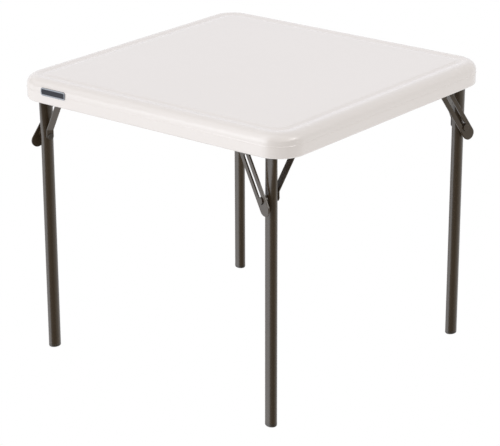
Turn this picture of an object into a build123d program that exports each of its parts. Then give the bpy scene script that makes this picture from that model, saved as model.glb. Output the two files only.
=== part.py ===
from build123d import *
import os
from math import atan2, cos, degrees, hypot, radians, sin

# A square folding table with a moulded plastic top and four steel legs.
# Millimetres. Z is up, the origin is on the floor under the middle of the top,
# and the front of the table faces -Y.
# The legs stand near the corners. Each one folds up along its own side of the
# top, and the four follow one another round like a pinwheel, so the model is
# the same after a quarter turn about Z.

os.makedirs("parts", exist_ok=True)

# Table top
top_side = 610.0
table_height = 536.0
rim_depth = 42.5
panel_thickness = 16.0
corner_radius = 53.0
shoulder_radius = 17.0
groove_outer = 18.0
groove_middle = 29.5
groove_inner = 42.0
groove_depth = 1.4
groove_inner_radius = 20.0
rim_wall = 8.5
rim_draft = 1.8
rim_edge_radius = 2.2
seam_height = 22.0
seam_width = 1.4
seam_proud = 0.4
dimple_count = 7
dimple_pitch = 66.0
dimple_mouth = 15.0
dimple_floor = 7.5
dimple_depth = 11.0

# Legs
tube_width = 23.4
tube_thickness = 19.6
tube_wall = 1.2
leg_from_side = 28.5
leg_from_end = 49.5
fold_turn = 15.5
crimp_width = 27.5
crimp_thickness = 15.0
crimp_full = 24.0
crimp_start = 90.0
pivot_above_rim = 12.5
foot_height = 7.0
foot_radius = 3.0
foot_plug_length = 15.0
foot_plug_gap = 0.1

# Pivots and pins
rod_diameter = 8.0
rod_head = 13.0
rod_head_height = 2.4
running_gap = 0.05
fixed_gap = 0.04
side_gap = 0.2
pin_diameter = 7.4
cross_pin_head = 10.6
cross_pin_head_height = 2.2
slide_pin_head = 12.5
slide_pin_head_height = 1.2
slide_pin_stand_off = 1.4
slide_pin_collar = 14.6
pin_drop = 90.0
pin_split_gap = 0.3
cross_pin_reach = 2.0

# Strap
strap_width = 14.0
strap_thickness = 2.0
strap_seat_gap = 0.1
strap_kink = 78.0
strap_top_kink = 15.0
strap_spread = 48.0
strap_bend = 4.0

# Slotted link
link_width = 24.4
link_thickness = 3.0
link_from_leg = 18.4
link_reach = 61.0
link_beyond_pin = 28.0
slot_gap = 0.3
seat_diameter = 13.8
link_edge = 0.5

# Bracket
plate_thickness = 2.0
ear_from_leg = 12.0
ear_radius = 12.0
inner_ear_gap = 1.0
plate_back = 12.5
plate_front = 22.0
arm_inner = 30.0
arm_beyond_link = 16.0
plate_corner = 4.0
pocket_gap = 0.3
screw_diameter = 4.0
screw_length = 11.0
screw_head = 8.0
screw_head_height = 1.8
screw_edge = 8.0

# Cuts run this far past the faces that they cut
overrun = 1.0

# Sizes that follow
tube_side = tube_thickness / 2
rim_bottom = table_height - rim_depth
panel_underside = table_height - panel_thickness
groove_floor = table_height - groove_depth
pivot_height = rim_bottom + pivot_above_rim
body_side = top_side - 2 * seam_proud
body_radius = corner_radius - seam_proud
mouth_side = top_side - 2 * rim_wall
mouth_radius = corner_radius - rim_wall
recess_depth = panel_underside - rim_bottom
recess_taper = degrees(atan2(rim_draft, recess_depth))
pivot_x = top_side / 2 - leg_from_end
pivot_y = leg_from_side - top_side / 2
strap_face = tube_side + strap_seat_gap
strap_outer = strap_face + strap_thickness
strap_top_outer = strap_spread + strap_thickness
inner_ear = strap_top_outer + inner_ear_gap
plate_edge = inner_ear + plate_thickness
ear_face = ear_from_leg + plate_thickness
link_face = link_from_leg + link_thickness
link_length = hypot(link_reach, pin_drop)
link_fold_length = pin_drop - link_reach
slot_width = pin_diameter + 2 * slot_gap
end_centre = link_length + link_beyond_pin - link_width / 2
plate_height = panel_underside - pivot_height

corners = ["front_right", "front_left", "rear_left", "rear_right"]


class LegFrame:
    """The directions at one leg: out along its fold, inward along its pivot rod, and up."""

    def __init__(self, quarter):
        turn = -90 * quarter
        angle = radians(fold_turn)
        self.pivot = Vector(pivot_x, pivot_y, pivot_height).rotate(Axis.Z, turn)
        self.fold = Vector(-cos(angle), sin(angle), 0).rotate(Axis.Z, turn)
        self.inward = Vector(sin(angle), cos(angle), 0).rotate(Axis.Z, turn)

    def side(self, inward=0):
        """Upright plane along the fold: x out along the fold, y up, extruded inward."""
        return Plane(self.pivot + self.inward * inward, x_dir=self.fold, z_dir=self.inward)

    def level(self, up=0):
        """Level plane: x inward, y out along the fold, extruded up."""
        return Plane(self.pivot + Vector(0, 0, up), x_dir=self.inward, z_dir=(0, 0, 1))

    def across(self, up=0):
        """Level plane for the leg's sections: x out along the fold, extruded up."""
        return Plane(self.pivot + Vector(0, 0, up), x_dir=self.fold, z_dir=(0, 0, 1))

    def edge(self):
        """Upright plane across the fold: x inward, y up."""
        return Plane(self.pivot, x_dir=self.inward, z_dir=-self.fold)

    def link(self, inward=0):
        """The link's plane: x from its rivet down to the slide pin, extruded inward."""
        rivet = self.pivot + self.fold * link_reach + self.inward * inward
        along = self.fold * (-link_reach) + Vector(0, 0, -pin_drop)
        return Plane(rivet, x_dir=along.normalized(), z_dir=self.inward)


frames = [LegFrame(quarter) for quarter in range(len(corners))]


def finish(part, name):
    part.part.label = name
    export_step(part.part, f"parts/{name}.step")


def screw_places():
    """Where a bracket's screws stand, as inward and fold distances from the pivot."""
    near = arm_inner - screw_edge
    far = plate_edge - screw_edge - plate_thickness
    back = screw_edge - plate_back
    front = plate_front - screw_edge
    arm_end = link_reach + arm_beyond_link - screw_edge
    return [(near, back), (far, front), (near, front), (near, arm_end)]


def plate_outline(gap=0):
    """The bracket's plate: a wide part over the pivot rod and an arm along to the link."""
    arm_end = link_reach + arm_beyond_link
    outline = Polygon(
        (-ear_face - gap, -plate_back - gap),
        (plate_edge + gap, -plate_back - gap),
        (plate_edge + gap, plate_front + gap),
        (arm_inner + gap, plate_front + gap),
        (arm_inner + gap, arm_end + gap),
        (-ear_face - gap, arm_end + gap),
        align=None,
    )
    fillet(outline.vertices(), radius=plate_corner)


def ring(inset, radius, height):
    """A rounded square, this far in from the edge of the top, at this height."""
    side = top_side - 2 * inset
    with BuildSketch(Plane.XY.offset(height)) as square:
        RectangleRounded(side, side, radius)
    return square.sketch.face()


# Table top
with BuildPart() as table_top:
    with BuildSketch(Plane.XY.offset(rim_bottom)):
        RectangleRounded(body_side, body_side, body_radius)
    extrude(amount=table_height - rim_bottom)
    fillet(table_top.faces().sort_by(Axis.Z)[-1].edges(), radius=shoulder_radius)

    # A wide, shallow groove all round between the shoulder and the flat middle
    crest = ring(groove_outer, corner_radius - groove_outer, table_height)
    floor = ring(groove_middle, corner_radius - groove_middle, groove_floor)
    middle = ring(groove_inner, groove_inner_radius, table_height)
    loft([crest, floor], mode=Mode.SUBTRACT)
    loft([floor, middle])

    # The line where the two halves of the mould meet
    with BuildSketch(Plane.XY.offset(rim_bottom + seam_height - seam_width / 2)):
        RectangleRounded(top_side, top_side, corner_radius)
    extrude(amount=seam_width)

    # The recess under the panel, a little wider at its mouth
    with BuildSketch(Plane.XY.offset(rim_bottom)):
        RectangleRounded(mouth_side, mouth_side, mouth_radius)
    extrude(amount=recess_depth, taper=recess_taper, mode=Mode.SUBTRACT)
    fillet(table_top.faces().sort_by(Axis.Z)[0].edges(), radius=rim_edge_radius)

    # Dimples in the underside, where the lower skin is pressed up to the top
    with BuildSketch(Plane.XY.offset(panel_underside)):
        with GridLocations(dimple_pitch, dimple_pitch, dimple_count, dimple_count):
            Circle(dimple_mouth)
    extrude(
        amount=dimple_depth,
        taper=degrees(atan2(dimple_mouth - dimple_floor, dimple_depth)),
        mode=Mode.SUBTRACT,
    )

    # A pocket and screw holes for each bracket
    for frame in frames:
        with BuildSketch(frame.level(plate_height)):
            plate_outline(pocket_gap)
        extrude(amount=plate_thickness, mode=Mode.SUBTRACT)
        with BuildSketch(frame.level(plate_height)):
            with Locations(*screw_places()):
                Circle(screw_diameter / 2 + fixed_gap)
        extrude(amount=screw_length, mode=Mode.SUBTRACT)
finish(table_top, "table_top")


def oval(frame, up, width, thickness, inset=0):
    """An oval that is long in the direction of the fold, at this height from the pivot."""
    with BuildSketch(frame.across(up)) as section:
        Ellipse(width / 2 - inset, thickness / 2 - inset)
    return section.sketch


def leg_tube(frame):
    """A steel tube, oval below and pressed flatter towards the top, open at both ends."""
    tube_bottom = foot_height - pivot_height
    with BuildPart() as tube:
        for inset, mode in ((0, Mode.ADD), (tube_wall, Mode.SUBTRACT)):
            length = -crimp_start - tube_bottom
            lower = oval(frame, tube_bottom, tube_width, tube_thickness, inset)
            extrude(lower, amount=length, mode=mode)
            start = oval(frame, -crimp_start, tube_width, tube_thickness, inset)
            end = oval(frame, -crimp_full, crimp_width, crimp_thickness, inset)
            loft([start.face(), end.face()], mode=mode)
            extrude(end, amount=crimp_full + crimp_width, mode=mode)

        # The top end is rounded about the pivot
        with BuildSketch(frame.side(-crimp_width)):
            Rectangle(crimp_width + overrun, 2 * crimp_width, align=(Align.CENTER, Align.MIN))
            Circle(crimp_width / 2, mode=Mode.SUBTRACT)
        extrude(amount=2 * crimp_width, mode=Mode.SUBTRACT)

        # Holes for the pivot rod and the cross pin
        with BuildSketch(frame.side(-tube_width)):
            Circle(rod_diameter / 2 + running_gap)
            with Locations((0, -pin_drop)):
                Circle(pin_diameter / 2 + fixed_gap)
        extrude(amount=2 * tube_width, mode=Mode.SUBTRACT)
    return tube


def foot(frame):
    """A plastic cap, flush with the tube, whose plug is pressed up inside it."""
    with BuildPart() as cap:
        extrude(oval(frame, -pivot_height, tube_width, tube_thickness), amount=foot_height)
        fillet(cap.edges().sort_by(Axis.Z)[0], radius=foot_radius)
        inset = tube_wall + foot_plug_gap
        plug = oval(frame, foot_height - pivot_height, tube_width, tube_thickness, inset)
        extrude(plug, amount=foot_plug_length)
    return cap


def strap(frame):
    """A flat strap, bent twice, from the leg's inner face out along the pivot rod."""
    with BuildPart() as strip:
        with BuildSketch(frame.edge()):
            with BuildLine():
                FilletPolyline(
                    (strap_face, -pin_drop - strap_width),
                    (strap_face, -strap_kink),
                    (strap_spread, -strap_top_kink),
                    (strap_spread, strap_width),
                    radius=strap_bend,
                )
                offset(amount=strap_thickness, side=Side.RIGHT)
            make_face()
        extrude(amount=strap_width / 2 + overrun, both=True)

        # Both ends are rounded about their holes
        with BuildSketch(frame.side()):
            with Locations((0, -pin_drop / 2)):
                SlotCenterToCenter(pin_drop, strap_width, rotation=90)
            Circle(rod_diameter / 2 + running_gap, mode=Mode.SUBTRACT)
            with Locations((0, -pin_drop)):
                Circle(pin_diameter / 2 + fixed_gap, mode=Mode.SUBTRACT)
        extrude(amount=2 * strap_spread, mode=Mode.INTERSECT)
    return strip


def cross_pin(frame):
    """The pin through leg and strap: its head is on the strap, its end carries the slide pin."""
    with BuildPart() as pin:
        with BuildSketch(frame.side(-tube_side - cross_pin_reach)):
            with Locations((0, -pin_drop)):
                Circle(pin_diameter / 2)
        extrude(amount=tube_side + cross_pin_reach + strap_outer)
        with BuildSketch(frame.side(strap_outer)):
            with Locations((0, -pin_drop)):
                Circle(cross_pin_head / 2)
        extrude(amount=cross_pin_head_height)
        fillet(pin.faces().sort_by(frame_axis(frame))[-1].edges(), radius=cross_pin_head_height / 2)
    return pin


def frame_axis(frame):
    """The line of the pivot rod, pointing inward."""
    return Axis(frame.pivot, frame.inward)


def slide_pin(frame):
    """The slide pin: a collar, a neck in the slot and a head that stands off the link."""
    collar = -tube_side - cross_pin_reach - pin_split_gap
    inner_face = side_gap - link_from_leg
    outer_face = -link_face - slide_pin_stand_off
    with BuildPart() as pin:
        with BuildSketch(frame.side(collar)):
            with Locations((0, -pin_drop)):
                Circle(slide_pin_collar / 2)
        extrude(amount=inner_face - collar)
        with BuildSketch(frame.side(inner_face)):
            with Locations((0, -pin_drop)):
                Circle(pin_diameter / 2)
        extrude(amount=outer_face - inner_face)
        with BuildSketch(frame.side(outer_face)):
            with Locations((0, -pin_drop)):
                Circle(slide_pin_head / 2)
        extrude(amount=-slide_pin_head_height)
        fillet(pin.faces().sort_by(frame_axis(frame))[0].edges(), radius=slide_pin_head_height / 2)
    return pin


def slot_link(frame):
    """A flat link with a long slot, and a round seat where the slide pin rests."""
    with BuildPart() as link:
        with BuildSketch(frame.link(-link_face)):
            with Locations((end_centre / 2, 0)):
                SlotCenterToCenter(end_centre, link_width)
            Circle(rod_diameter / 2 + running_gap, mode=Mode.SUBTRACT)
            with Locations(((link_fold_length + link_length) / 2, 0)):
                SlotCenterToCenter(link_length - link_fold_length, slot_width, mode=Mode.SUBTRACT)
            with Locations((link_length, 0)):
                Circle(seat_diameter / 2, mode=Mode.SUBTRACT)
        extrude(amount=link_thickness)
        outer = link.faces().sort_by(frame_axis(frame))[0]
        chamfer(outer.outer_wire().edges(), length=link_edge)
    return link


def link_rivet(frame):
    """The link's upper pivot: a stud in the bracket's ear, with a shoulder and a head."""
    shoulder = side_gap - link_from_leg
    head = -link_face - side_gap
    with BuildPart() as rivet:
        with BuildSketch(frame.side(-ear_from_leg)):
            with Locations((link_reach, 0)):
                Circle(rod_diameter / 2)
        extrude(amount=head + ear_from_leg)
        with BuildSketch(frame.side(-ear_face)):
            with Locations((link_reach, 0)):
                Circle(rod_head / 2)
        extrude(amount=shoulder + ear_face)
        with BuildSketch(frame.side(head)):
            with Locations((link_reach, 0)):
                Circle(rod_head / 2)
        extrude(amount=-rod_head_height)
        fillet(rivet.faces().sort_by(frame_axis(frame))[0].edges(), radius=rod_head_height / 2)
    return rivet


def pivot_rod(frame):
    """The rod that the leg and its strap turn on, headed outside both ears."""
    spacer_end = -crimp_thickness / 2 - side_gap
    with BuildPart() as rod:
        with BuildSketch(frame.side(-ear_face)):
            Circle(rod_diameter / 2)
        extrude(amount=ear_face + plate_edge)
        with BuildSketch(frame.side(-ear_from_leg)):
            Circle(rod_head / 2)
        extrude(amount=spacer_end + ear_from_leg)
        with BuildSketch(frame.side(-ear_face)):
            Circle(rod_head / 2)
        extrude(amount=-rod_head_height)
        fillet(rod.faces().sort_by(frame_axis(frame))[0].edges(), radius=rod_head_height / 2)
        with BuildSketch(frame.side(plate_edge)):
            Circle(rod_head / 2)
        extrude(amount=rod_head_height)
        fillet(rod.faces().sort_by(frame_axis(frame))[-1].edges(), radius=rod_head_height / 2)
    return rod


def bracket(frame):
    """A bent steel bracket: a plate in the top's pocket and two ears hanging from it."""
    with BuildPart() as plate:
        with BuildSketch(frame.level(plate_height)):
            plate_outline()
            with Locations(*screw_places()):
                Circle(screw_diameter / 2 + fixed_gap, mode=Mode.SUBTRACT)
        extrude(amount=plate_thickness)

        # The outer ear holds the rod and the link's rivet
        with BuildSketch(frame.side(-ear_face)):
            Circle(ear_radius)
            with Locations((link_reach, 0)):
                Circle(ear_radius)
            with Locations((link_reach / 2, plate_height)):
                Rectangle(link_reach + 2 * ear_radius, plate_thickness, align=(Align.CENTER, Align.MAX))
            make_hull()
            Circle(rod_diameter / 2 + fixed_gap, mode=Mode.SUBTRACT)
            with Locations((link_reach, 0)):
                Circle(rod_diameter / 2 + fixed_gap, mode=Mode.SUBTRACT)
        extrude(amount=plate_thickness)

        # The inner ear holds the rod beyond the strap
        with BuildSketch(frame.side(inner_ear)):
            Circle(ear_radius)
            with Locations((0, plate_height)):
                Rectangle(2 * ear_radius, plate_thickness, align=(Align.CENTER, Align.MAX))
            make_hull()
            Circle(rod_diameter / 2 + fixed_gap, mode=Mode.SUBTRACT)
        extrude(amount=plate_thickness)
    return plate


def bracket_screws(frame):
    """Pan-head screws up through the bracket's plate into the top."""
    with BuildPart() as screws:
        with BuildSketch(frame.level(plate_height - screw_head_height)):
            with Locations(*screw_places()):
                Circle(screw_head / 2)
        extrude(amount=screw_head_height)
        heads = screws.faces().group_by(Axis.Z)[0]
        fillet(heads.edges(), radius=screw_head_height / 2)
        with BuildSketch(frame.level(plate_height)):
            with Locations(*screw_places()):
                Circle(screw_diameter / 2)
        extrude(amount=screw_length - overrun)
    return screws


pieces = {
    "leg_tube": leg_tube,
    "foot": foot,
    "strap": strap,
    "cross_pin": cross_pin,
    "slide_pin": slide_pin,
    "slot_link": slot_link,
    "link_rivet": link_rivet,
    "pivot_rod": pivot_rod,
    "bracket": bracket,
    "bracket_screws": bracket_screws,
}
for corner, frame in zip(corners, frames):
    for piece, make in pieces.items():
        finish(make(frame), f"{corner}_{piece}")
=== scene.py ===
# %% [markdown]
# # A small square folding table
# The table has a blow-moulded plastic top and four steel legs that fold up into
# the recess under it. The CAD model gives every moving part and every size; this
# notebook gives the parts their looks. Everything is in metres, the floor is at
# z = 0, and the front of the table faces -Y.

# %% Load the fixed frame
from math import cos, pi, radians, sin

import bmesh
import bpy
import numpy as np
from mathutils import Matrix, Vector


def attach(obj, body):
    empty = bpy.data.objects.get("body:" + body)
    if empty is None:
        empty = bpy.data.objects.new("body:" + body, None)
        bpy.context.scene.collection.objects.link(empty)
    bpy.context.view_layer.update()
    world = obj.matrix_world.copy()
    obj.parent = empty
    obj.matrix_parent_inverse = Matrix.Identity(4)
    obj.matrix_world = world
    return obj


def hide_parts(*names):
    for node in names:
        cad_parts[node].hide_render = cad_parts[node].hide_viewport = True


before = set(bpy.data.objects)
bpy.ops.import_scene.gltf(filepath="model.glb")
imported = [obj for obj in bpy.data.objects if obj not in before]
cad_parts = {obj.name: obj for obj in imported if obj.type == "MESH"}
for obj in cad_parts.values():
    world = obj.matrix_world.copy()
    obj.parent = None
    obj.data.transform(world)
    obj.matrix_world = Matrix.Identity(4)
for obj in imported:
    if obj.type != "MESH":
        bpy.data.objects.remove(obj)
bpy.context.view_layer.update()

scene = bpy.context.scene

# %% [markdown]
# ## The camera
# The photograph was taken with a long lens from above the near corner. The
# place, the direction and the lens were fitted to the edges of the top and the
# legs, so that the table falls on the photograph. A camera looks along its own
# -Z, so its three axes are built from the viewing direction.

# %% Camera
camera_place = Vector((2.23960, -2.82962, 1.56214))
view = Vector((-0.583959, 0.734676, -0.345315)).normalized()
camera_roll = radians(-0.142)
focal_share = 2068.9 / 500        # focal length over the width of the picture
sensor_width = 36                 # in mm

right = view.cross(Vector((0, 0, 1))).normalized()
above = right.cross(view)
right, above = (right * cos(camera_roll) + above * sin(camera_roll),
                above * cos(camera_roll) - right * sin(camera_roll))
camera = bpy.data.objects.new("camera", bpy.data.cameras.new("camera"))
camera.data.sensor_width = sensor_width
camera.data.lens = sensor_width * focal_share
axes = Matrix((right, above, -view)).transposed()
camera.matrix_world = Matrix.Translation(camera_place) @ axes.to_4x4()
scene.collection.objects.link(camera)
scene.camera = camera
print("lens", round(camera.data.lens, 1), "mm")

# %% [markdown]
# ## Shader maths
# A finish is a small network of nodes. Written out link by link it is hard to
# read, so a signal wraps one socket: +, -, * and / on signals add the Math nodes
# that they stand for. Every other node comes from one method, which takes the
# node's type, its settings and what its sockets are fed with.

# %% A signal
class Signal:
    """One output socket. Arithmetic on it adds Math nodes to its finish."""

    def __init__(self, finish, socket):
        self.finish, self.socket = finish, socket

    def math(self, operation, first, second):
        """Adds one Math node."""
        return self.finish.node("Math", {"operation": operation}, {0: first, 1: second})

    def __add__(self, other): return self.math("ADD", self, other)
    def __radd__(self, other): return self.math("ADD", other, self)
    def __sub__(self, other): return self.math("SUBTRACT", self, other)
    def __rsub__(self, other): return self.math("SUBTRACT", other, self)
    def __mul__(self, other): return self.math("MULTIPLY", self, other)
    def __rmul__(self, other): return self.math("MULTIPLY", other, self)
    def __truediv__(self, other): return self.math("DIVIDE", self, other)


# %% A finish
class Finish:
    """A material or a world being made: its nodes are added one by one, then shown."""

    def __init__(self, name, store=bpy.data.materials):
        self.made = store.new(name)
        self.made.use_nodes = True
        self.tree = self.made.node_tree
        self.tree.nodes.clear()

    def node(self, kind, settings=None, inputs=None, output=0):
        """Adds a node: settings first (a ramp's stops among them), then its sockets."""
        made = self.tree.nodes.new("ShaderNode" + kind)
        for name, value in (settings or {}).items():
            if name == "stops":
                while len(made.color_ramp.elements) < len(value):
                    made.color_ramp.elements.new(0.5)      # each is moved to its place below
                for element, (place, colour) in zip(made.color_ramp.elements, value):
                    element.position, element.color = place, colour
            else:
                setattr(made, name, value)
        for name, value in (inputs or {}).items():
            if isinstance(value, Signal):
                self.tree.links.new(value.socket, made.inputs[name])
            else:
                made.inputs[name].default_value = value
        return Signal(self, made.outputs[output])

    def noise(self, scale, detail=2.0):
        """Smooth noise from 0 to 1, with scale bumps to the metre."""
        place = self.node("TexCoord", output="Object")
        return self.node("TexNoise", inputs={"Vector": place, "Scale": scale, "Detail": detail})

    def between(self, share, first, second):
        """A colour that goes from the first to the second as share goes from 0 to 1."""
        return self.node("Mix", {"data_type": "RGBA"},
                         {"Factor": share, 6: (*first, 1), 7: (*second, 1)}, output=2)

    def bump(self, height, depth, strength):
        """A normal tilted by a height signal from 0 to 1, depth metres deep."""
        return self.node("Bump", inputs={"Height": height, "Distance": depth,
                                         "Strength": strength})

    def show(self, **sockets):
        """Feeds the Principled shader's sockets and ends the finish."""
        inputs = {name.replace("_", " "): value for name, value in sockets.items()}
        return self.end(self.node("BsdfPrincipled", inputs=inputs), "OutputMaterial")

    def end(self, shader, kind):
        """Leads a shader to the output node."""
        out = self.tree.nodes.new("ShaderNode" + kind)
        self.tree.links.new(shader.socket, out.inputs["Surface"])
        print(self.made.name, len(self.tree.nodes), "nodes")
        return self.made


# %% [markdown]
# ## The plastic of the top
# The top is blow-moulded polyethylene in a warm pale grey. The mould is lightly
# etched, so the skin has a fine pebble that spreads its highlights, and the
# colour drifts a little from place to place. Both patterns are read in Object
# coordinates, in metres, so the pebble is about a millimetre across whatever the
# shape of the piece.

# %% Moulded plastic
plastic = Finish("moulded_plastic")
pebble = plastic.noise(800, detail=3.0)
drift = plastic.noise(5)
scuffs = plastic.noise(60, detail=4.0)
moulded_plastic = plastic.show(
    Base_Color=plastic.between(drift, (0.797, 0.760, 0.746), (0.812, 0.775, 0.763)),
    Roughness=0.17 + 0.06 * scuffs,
    Normal=plastic.bump(pebble, depth=0.00010, strength=0.10),
    IOR=1.50,
)

# %% [markdown]
# ## The coat of the steel
# Legs, links, straps, slide pins and brackets carry the same dark bronze coat.
# It is glossy enough to mirror the light wall as one broad band down each leg,
# and its own colour, a warm brown, shows where the room in front is dark. Its
# roughness changes slowly from place to place, as handling has left it.

# %% Bronze coat
coat = Finish("bronze_coat")
peel = coat.noise(260)
cloud = coat.noise(14)
bronze_coat = coat.show(
    Base_Color=coat.between(cloud, (0.046, 0.032, 0.019), (0.052, 0.037, 0.023)),
    Roughness=0.17 + 0.08 * cloud,
    Normal=coat.bump(peel, depth=0.00004, strength=0.15),
    IOR=1.50,
)

# %% [markdown]
# ## The small parts
# The foot caps are moulded in a dark, satin plastic. The pivot rods, cross pins
# and rivets are plated dark, and the plating has gone dull in a fine, uneven
# grain. The screws under the top are zinc plated, the only bright metal there.
# On the metals one noise drives the colour, the roughness and the bump together,
# as a real grain does. The caps' colour drifts by itself, in wider patches.

# %% Foot plastic
rubber = Finish("foot_rubber")
grain = rubber.noise(900, detail=3.0)
foot_rubber = rubber.show(
    Base_Color=rubber.between(rubber.noise(40), (0.034, 0.026, 0.018), (0.044, 0.034, 0.025)),
    Roughness=0.30 + 0.10 * grain,
    Normal=rubber.bump(grain, depth=0.00010, strength=0.3),
)

# %% Pin steel
steel = Finish("pin_steel")
dulling = steel.noise(500, detail=3.0)
pin_steel = steel.show(
    Base_Color=steel.between(dulling, (0.050, 0.043, 0.036), (0.075, 0.066, 0.056)),
    Roughness=0.28 + 0.12 * dulling,
    Metallic=0.35,
    Normal=steel.bump(dulling, depth=0.00008, strength=0.3),
)

# %% Zinc of the screws
zinc = Finish("screw_zinc")
spangle = zinc.noise(700)
screw_zinc = zinc.show(
    Base_Color=zinc.between(spangle, (0.52, 0.52, 0.50), (0.68, 0.67, 0.63)),
    Roughness=0.25 + 0.2 * spangle,
    Metallic=1.0,
    Normal=zinc.bump(spangle, depth=0.00005, strength=0.3),
)

# %% [markdown]
# ## From arrays to pieces
# A surface is worked out as an array of points with rows and columns. Its faces
# join each point to the next in both directions, and a direction that closes on
# itself wraps round. Rows that shrink to one point are merged, which turns their
# quads into the triangles of a closed pole.

# %% Surface helper
crease = radians(35)              # edges that turn by more than this stay sharp


def surface(name, points, body, finish, round_rows=False, round_columns=True):
    """A closed or open skin over points[row, column, xyz], in metres.

    Corner (r, c) of the grid is joined to (r, c + 1), (r + 1, c + 1) and (r + 1, c)."""
    rows, columns = points.shape[:2]
    r, c = np.meshgrid(np.arange(rows - (not round_rows)),
                       np.arange(columns - (not round_columns)), indexing="ij")
    below, beside = (r + 1) % rows, (c + 1) % columns
    faces = np.stack([r * columns + c, r * columns + beside,
                      below * columns + beside, below * columns + c], axis=-1).reshape(-1, 4)
    mesh = bpy.data.meshes.new(name)
    mesh.from_pydata(points.reshape(-1, 3), [], faces)
    shape = bmesh.new()
    shape.from_mesh(mesh)
    bmesh.ops.remove_doubles(shape, verts=shape.verts, dist=1e-7)
    bmesh.ops.recalc_face_normals(shape, faces=shape.faces)
    shape.to_mesh(mesh)
    shape.free()
    mesh.shade_smooth()
    mesh.set_sharp_from_angle(angle=crease)
    mesh.materials.append(finish)
    piece = bpy.data.objects.new(name, mesh)
    scene.collection.objects.link(piece)
    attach(piece, body)
    print(name, len(mesh.polygons), "faces")
    return piece


# %% Curves of a profile
def ease(share):
    """The smooth step 3t^2 - 2t^3, held at 0 below 0 and at 1 above 1."""
    t = np.clip(share, 0, 1)
    return t * t * (3 - 2 * t)


def arc(centre, radius, start, end, steps):
    """Points centre + radius * (cos a, sin a) in the profile's plane, a in degrees."""
    a = np.radians(np.linspace(start, end, steps))
    return np.stack([centre[0] + radius * np.cos(a), centre[1] + radius * np.sin(a)], axis=1)


# %% [markdown]
# ## The rim and the playing surface
# The top's upper skin is one closed form: the flat middle, a wide and shallow
# groove, a round shoulder, the upright side with the fine line where the two
# halves of the mould met, the lower edge, and the tapered wall of the recess.
# All of it is one profile carried round a square with round corners. Each point
# of the profile is d in from the outline and z up, and its ring is a square of
# half-side c pushed out by the corner radius r, where c + r is half the side
# less d. Rings in the flat middle shrink to the centre. The sizes are the CAD
# model's, apart from those of the groove and the mould line. These were fitted
# to the photograph and differ from the CAD model's by less than 2 mm.

# %% Sizes of the top
half_side = 0.305
top_height = 0.536
rim_bottom = 0.4935
corner_radius = 0.053
shoulder_radius = 0.017
side_inset = 0.0004
outer_edge_radius, inner_edge_radius = 0.0040, 0.0025
seam_up = 0.5145
seam_ridge, seam_slope, seam_lip = 0.0006, 0.0018, 0.0002
groove_outer, groove_middle, groove_inner = 0.018, 0.0300, 0.0405
groove_depth = 0.0016
groove_inner_radius = 0.020
recess_inset = 0.0085
recess_draft = 0.0018
wall_end = 0.533                  # the recess wall ends here, hidden between the two skins
panel_underside = 0.520
skin_lift = 0.0005                # the bracket plates stand this much proud of the lower skin
skin_height = panel_underside + skin_lift
print("rim", round(top_height - rim_bottom, 4), "m deep")


# %% Rings round a rectangle
def rings(profile, half_x, half_y, corner_steps, side_steps):
    """Carries a profile of (d, z, r) rows round a rounded rectangle.

    A ring lies d in from the outline at height z, with corner radius r. Its point is
    c * s + r * (cos a, sin a): s runs along the rectangle from corner to corner while a
    stays still, and a turns by a quarter at each corner while s stays still."""
    turn = np.linspace(0, pi / 2, corner_steps)
    along = np.linspace(-1, 1, side_steps + 1)[1:-1]
    angle, place = [], []
    for quarter in range(4):
        a = quarter * pi / 2
        facing = np.array([cos(a), sin(a)])
        across = np.array([-sin(a), cos(a)])
        angle += [np.full(len(along), a), a + turn]
        place += [facing + along[:, None] * across, np.repeat([facing + across], corner_steps, 0)]
    angle, place = np.concatenate(angle), np.concatenate(place)
    d, z, r = profile.T
    c = np.stack([half_x - d - r, half_y - d - r], axis=1)
    flat = c[:, None] * place + r[:, None, None] * np.stack([np.cos(angle), np.sin(angle)], axis=1)
    return np.concatenate([flat, np.broadcast_to(z[:, None, None], flat.shape[:2] + (1,))], axis=2)


def concentric(rows):
    """Gives (d, z) rows their corner radius r, which is the outline's less d, and at least 0."""
    return np.column_stack([rows, np.clip(corner_radius - rows[:, 0], 0, None)])


# %% Profile of the groove
slope_steps = 14
flat_rings = ((half_side, 0), (0.200, 0.004), (0.100, 0.012), (0.060, 0.018))   # d and r

share = np.linspace(1, 0, slope_steps)
middle = np.array([(d, top_height, r) for d, r in flat_rings])
inner_slope = np.column_stack([groove_middle + (groove_inner - groove_middle) * share,
                               top_height - groove_depth * (1 - ease(share)),
                               (corner_radius - groove_middle) * (1 - share)
                               + groove_inner_radius * share])
outer_slope = concentric(np.column_stack([
    groove_outer + (groove_middle - groove_outer) * share,
    top_height - groove_depth * ease(share)]))[1:]
print("groove", len(inner_slope) + len(outer_slope), "rings")

# %% Profile of the side
shoulder_steps, seam_steps, outer_edge_steps, inner_edge_steps = 22, 14, 12, 8

shoulder = arc((shoulder_radius + side_inset, top_height - shoulder_radius), shoulder_radius,
               90, 180, shoulder_steps)
above_seam = np.linspace(1, 0, seam_steps)
seam = np.column_stack([side_inset - seam_ridge * ease(1 - above_seam),
                        seam_up + seam_slope * above_seam])
under_seam = np.array([[side_inset, seam_up - seam_lip]])
outer_edge = arc((side_inset + outer_edge_radius, rim_bottom + outer_edge_radius),
                 outer_edge_radius, 180, 270, outer_edge_steps)
inner_edge = arc((recess_inset - inner_edge_radius, rim_bottom + inner_edge_radius),
                 inner_edge_radius, 270, 360, inner_edge_steps)
wall_top = np.array([[recess_inset + recess_draft, skin_height],
                     [recess_inset + recess_draft, wall_end]])
side = concentric(np.concatenate([shoulder, seam, under_seam, outer_edge, inner_edge, wall_top]))
print("side", len(side), "rings")

# %% Top rim
profile = np.concatenate([middle, inner_slope, outer_slope, side, [[half_side, wall_end, 0]]])
rim = surface("top_rim", rings(profile, half_side, half_side, corner_steps=28, side_steps=12),
              "top", moulded_plastic)
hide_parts("table_top")

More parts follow.
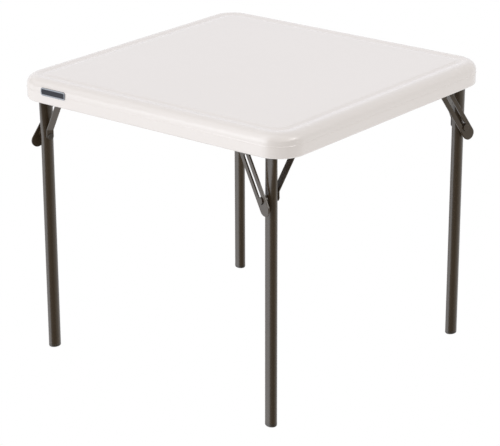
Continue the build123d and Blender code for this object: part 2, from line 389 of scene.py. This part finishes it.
# %% [markdown]
# ## The plate on the rim
# A small bare plate sits on the front of the rim, near its left-hand end: a dark
# field inside a metal frame. Both parts are rings of the same rounded rectangle,
# worked out lying flat and then stood up against the side. The frame closes on
# itself like a tyre, and the field's rings shrink to its middle line.

# %% Finishes of the plate
metal = Finish("plate_metal")
brushing = metal.noise(900)
plate_metal = metal.show(
    Base_Color=metal.between(brushing, (0.170, 0.172, 0.180), (0.210, 0.212, 0.220)),
    Roughness=0.30 + 0.1 * brushing,
    Metallic=1.0,
)
enamel = Finish("plate_enamel")
fleck = enamel.noise(400)
plate_enamel = enamel.show(
    Base_Color=enamel.between(fleck, (0.010, 0.010, 0.014), (0.016, 0.016, 0.021)),
    Roughness=0.45 + 0.1 * fleck,
    IOR=1.30,
)

# %% Rim plate
plate_middle = np.array([-0.2103, side_inset - half_side, 0.5172])
plate_half = (0.0292, 0.0072)
plate_corner = 0.0042
plate_sunk = 0.0010               # how far the plate reaches into the rim
frame_wide, frame_proud, frame_round = 0.0026, 0.0013, 0.0005
field_edge = frame_wide - 0.0002  # the field starts just under the frame's inner edge
field_bend, field_core = 0.0034, plate_half[1]
edge_proud, bend_proud, core_proud = 0.0006, 0.0008, 0.0009


def on_rim(name, rows, finish, round_rows=False):
    """Rings of (d, w) rows, w out from the rim, stood up: x stays, y turns up, w out."""
    rows = np.array(rows)
    profile = np.column_stack([rows, np.clip(plate_corner - rows[:, 0], 0, None)])
    flat = rings(profile, *plate_half, corner_steps=8, side_steps=10)
    across, upward, outward = np.moveaxis(flat, 2, 0)
    points = plate_middle + np.stack([across, -outward, upward], axis=-1)
    return surface(name, points, "top", finish, round_rows=round_rows)


on_rim("plate_frame", [
    (0, -plate_sunk), (0, frame_proud - frame_round), (frame_round, frame_proud),
    (frame_wide - frame_round, frame_proud), (frame_wide, frame_proud - frame_round),
    (frame_wide, -plate_sunk)], plate_metal, round_rows=True)
on_rim("plate_field", [
    (field_core, -plate_sunk), (field_edge, -plate_sunk), (field_edge, edge_proud),
    (field_bend, bend_proud), (field_core, core_proud)], plate_enamel)

# %% [markdown]
# ## The lower skin and its dimples
# Under the top, the lower skin is pressed up into cones that meet the upper
# skin. They stop the thin panel from bending. The skin is a height over a grid
# whose lines lie close together across each row of cones. Towards its edge the
# square grid turns into a rounded square, so that it fits the recess. Its wall
# grows upwards, so that the legs still have all their room when they fold.

# %% Sizes of the lower skin
dimple_rows = 7
dimple_pitch, dimple_mouth, dimple_floor, dimple_depth = 0.066, 0.015, 0.0075, 0.011
skin_tuck = 0.0012                # how far the skin's edge reaches into the recess wall
skin_half = half_side - recess_inset - recess_draft + skin_tuck
skin_corner = corner_radius - recess_inset - recess_draft + skin_tuck
skin_wall = 0.0015
square_half = 0.225               # inside this half-size the grid is square
print(dimple_rows ** 2, "dimples", dimple_pitch, "m apart")


# %% Grid of the lower skin
def round_corners(x, y, straight_to):
    """Turns a square grid into rounded rings: a ring of half-size h has corner radius r,
    and a point further along it than h - r goes round the corner's arc by its share."""
    h = np.maximum(abs(x), abs(y))
    m = np.minimum(abs(x), abs(y))
    least = 1e-9                  # r divides in the next line, so it never quite gets to 0
    r = skin_corner * np.clip((h - straight_to) / (skin_half - straight_to), least, 1)
    share = np.clip((m - (h - r)) / r, 0, 1)
    major = h - r + r * np.cos(share * pi / 4)
    minor = np.where(share > 0, h - r + r * np.sin(share * pi / 4), m)
    wide = abs(x) >= abs(y)
    return np.sign(x) * np.where(wide, major, minor), np.sign(y) * np.where(wide, minor, major)


def grid_lines():
    """Places of the grid's lines: fine across the cones, coarse between and beyond them."""
    cone_reach, cone_lines = 0.0165, 23
    coarse = np.array([0.0248, 0.033, 0.0412])
    beyond_start, beyond_lines = 0.222, 14
    centres = (np.arange(dimple_rows) - dimple_rows // 2) * dimple_pitch
    fine = (centres[:, None] + np.linspace(-cone_reach, cone_reach, cone_lines)).ravel()
    between = (centres[:-1, None] + coarse).ravel()
    beyond = np.linspace(beyond_start, skin_half, beyond_lines)
    return np.sort(np.concatenate([fine, between, beyond, -beyond]))


def from_nearest(g):
    """How far a grid coordinate is from the nearest row of cones."""
    row = np.clip(np.round(g / dimple_pitch), -(dimple_rows // 2), dimple_rows // 2)
    return np.abs(g - dimple_pitch * row)


# %% Dimpled skin
lines = grid_lines()
gx, gy = np.meshgrid(lines, lines)
from_middle = np.hypot(from_nearest(gx), from_nearest(gy))
rise = dimple_depth * ease((dimple_mouth - from_middle) / (dimple_mouth - dimple_floor))
sx, sy = round_corners(gx, gy, square_half)
skin = surface("lower_skin", np.stack([sx, sy, skin_height + rise], axis=-1), "top",
               moulded_plastic, round_columns=False)
solid = skin.modifiers.new("wall", "SOLIDIFY")
solid.thickness = skin_wall
solid.offset = 1                  # the wall grows upwards, clear of the folded legs
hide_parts("table_top")

# %% [markdown]
# ## The legs and their linkage
# Legs, feet, straps, links, pins, rivets and brackets are bent, pressed and
# turned steel or plain mouldings, and the CAD model already has their whole
# shape. They keep it, and only take a finish. A node's name ends with the kind
# of piece that it is, so one table dresses all four corners.

# %% Finishes of the CAD pieces
finish_of = {"strap": bronze_coat, "slot_link": bronze_coat, "bracket": bronze_coat,
             "leg_tube": bronze_coat, "foot": foot_rubber, "cross_pin": pin_steel,
             "slide_pin": bronze_coat, "link_rivet": pin_steel, "pivot_rod": pin_steel,
             "bracket_screws": screw_zinc}
for node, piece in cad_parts.items():
    for kind, finish in finish_of.items():
        if node.endswith("_" + kind):
            piece.data.materials.clear()
            piece.data.materials.append(finish)
print(len(finish_of), "kinds of piece in", len(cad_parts), "CAD nodes")

# %% [markdown]
# ## The floor
# In the photograph the table is cut out on pure white, with no shadow under it.
# A lit floor would take the table's shadow, so this one reflects nothing and
# gives off an even light instead. The camera sees it as pure white. All other
# rays get a little less from it, and warmer. The glossy pieces don't mirror it,
# so that they show the room behind it.

# %% Floor
floor_reach = 14
white = (1, 1, 1)
warm_white = (0.89, 0.88, 0.86)

paper = Finish("white_paper")
seen = paper.node("LightPath", output="Is Camera Ray")
white_paper = paper.show(
    Base_Color=(0, 0, 0, 1),
    Roughness=1.0,
    Specular_IOR_Level=0.0,
    Emission_Color=paper.between(seen, warm_white, white),
    Emission_Strength=1.0,
)
floor_mesh = bpy.data.meshes.new("floor")
floor_mesh.from_pydata([(-floor_reach, -floor_reach, 0), (floor_reach, -floor_reach, 0),
                        (floor_reach, floor_reach, 0), (-floor_reach, floor_reach, 0)],
                       [], [(0, 1, 2, 3)])
floor_mesh.materials.append(white_paper)
floor = bpy.data.objects.new("floor", floor_mesh)
floor.visible_glossy = False
scene.collection.objects.link(floor)
print("floor", 2 * floor_reach, "m wide")

# %% [markdown]
# ## The light round the table
# The legs tell what stood round the table, because each is a mirror rolled into
# an oval: a point on it mirrors the direction at twice its normal's turn. Worked
# back from the four legs, the room has one bright wall from the left to straight
# in front (azimuth -170 to -90 degrees), it is dark in front of the right-hand
# side, and it is evenly light behind. Two tables give that light by azimuth, the
# first to mirrored rays, and the second, which is softer, to all the others.

# %% The room's light, by azimuth
ramp_top = 3.0                    # a ramp holds 0 to 1, so it is written as shares of this
full_turn = 360
mirrored = {-180: (0.9, 0.9, 0.9), -155: (1.80, 1.88, 1.98), -130: (2.45, 2.58, 2.75),
            -104: (2.15, 2.27, 2.42), -84: (0.45, 0.45, 0.44), -62: (0.24, 0.24, 0.23),
            -35: (0.12, 0.12, 0.11), -8: (0.16, 0.16, 0.15), 15: (0.62, 0.62, 0.58),
            40: (0.85, 0.85, 0.83), 55: (1.3, 1.3, 1.3), 80: (1.1, 1.1, 1.1),
            110: (0.90, 0.91, 0.96), 150: (0.90, 0.91, 0.96), 180: (0.90, 0.90, 0.90)}
diffused = {-180: (1.02, 1.02, 1.02), -135: (1.50, 1.50, 1.50), -90: (1.15, 1.13, 1.11),
            -55: (0.50, 0.46, 0.42), -25: (0.36, 0.33, 0.30), 5: (0.64, 0.62, 0.59),
            40: (1.06, 1.05, 1.03), 110: (1.02, 1.02, 1.02), 180: (1.02, 1.02, 1.02)}

room = Finish("room", bpy.data.worlds)
direction = room.node("TexCoord", output="Generated")
x, y, up = (room.node("SeparateXYZ", inputs={0: direction}, output=part) for part in range(3))
azimuth = room.node("Math", {"operation": "ARCTAN2"}, {0: y, 1: x}) / (2 * pi) + 0.5


def share_of(degrees):
    """An azimuth's place on a ramp that runs from -180 to 180 degrees."""
    return (degrees + 180) / full_turn


def by_azimuth(lights):
    """A colour that follows a table of azimuth in degrees to light."""
    stops = [(share_of(degrees), (*(part / ramp_top for part in light), 1))
             for degrees, light in lights.items()]
    return room.node("ValToRGB", {"stops": stops}, {0: azimuth})


# %% [markdown]
# ## Light by height
# Azimuth alone gives walls that never end. Bells and smooth steps of azimuth and
# height add what else the steel mirrors: a lamp on the right, a ceiling on the
# near right, a strip where the bright wall is brightest, and a dimmer band above
# the walls, except behind the table. Other rays need less: their light only
# falls off a little from the horizon to straight above.

# %% Shapes of light
def background(colour, strength):
    """An even light, its colour times its strength."""
    return room.node("Background", inputs={"Color": colour, "Strength": strength})


def mixed(share, first, second):
    """A shader that goes from the first to the second as share goes from 0 to 1."""
    return room.node("MixShader", inputs={0: share, 1: first, 2: second})


def bell(signal, middle, width):
    """exp(-((s - middle) / width)^2), which is 1 at the middle and fades on both sides."""
    off = (signal - middle) / width
    return room.node("Math", {"operation": "EXPONENT"}, {0: off * off * -1})


def rising(signal, start, end):
    """The smooth step 3t^2 - 2t^3 of a signal between two values."""
    return room.node("MapRange", {"interpolation_type": "SMOOTHSTEP"},
                     {"Value": signal, "From Min": start, "From Max": end})


def sector(start, full, fading, end):
    """1 between two azimuths, with a soft edge on both sides."""
    return (rising(azimuth, share_of(start), share_of(full))
            * (1 - rising(azimuth, share_of(fading), share_of(end))))


# %% Lamp, ceiling and walls
lamp_light, ceiling_light, strip_light, band_dimming = 7.0, 2.4, 1.8, 0.75
overhead_fall, overhead_level = 0.28, 1.21
lamp_up = sin(radians(33))        # up is the sine of the height angle

lamp = (bell(azimuth, middle=share_of(10), width=19 / full_turn)
        * bell(up, middle=lamp_up, width=0.13) * lamp_light)
ceiling = (bell(azimuth, middle=share_of(-20), width=55 / full_turn)
           * rising(up, start=0.12, end=0.50) * ceiling_light)
strip = (sector(start=-134, full=-127, fading=-100, end=-85)
         * bell(up, middle=0.20, width=0.33) * strip_light)
above_wall = ((1 - sector(start=10, full=50, fading=150, end=178))
              * bell(up, middle=0.25, width=0.20) * band_dimming)
wall = strip - above_wall + 1
overhead = up * -overhead_fall + overhead_level
print("room", len(room.tree.nodes), "nodes so far")

# %% The room
opaque_white = (*white, 1)
glossy_ray = room.node("LightPath", output="Is Glossy Ray")
camera_ray = room.node("LightPath", output="Is Camera Ray")
sky = mixed(glossy_ray, background(by_azimuth(diffused), overhead * ramp_top),
            background(by_azimuth(mirrored), wall * ramp_top))
lights = background(opaque_white, (lamp + ceiling) * glossy_ray)
sky = room.node("AddShader", inputs={0: sky, 1: lights})
scene.world = room.end(mixed(camera_ray, sky, background(opaque_white, 1.0)), "OutputWorld")
scene.view_settings.view_transform = "Standard"
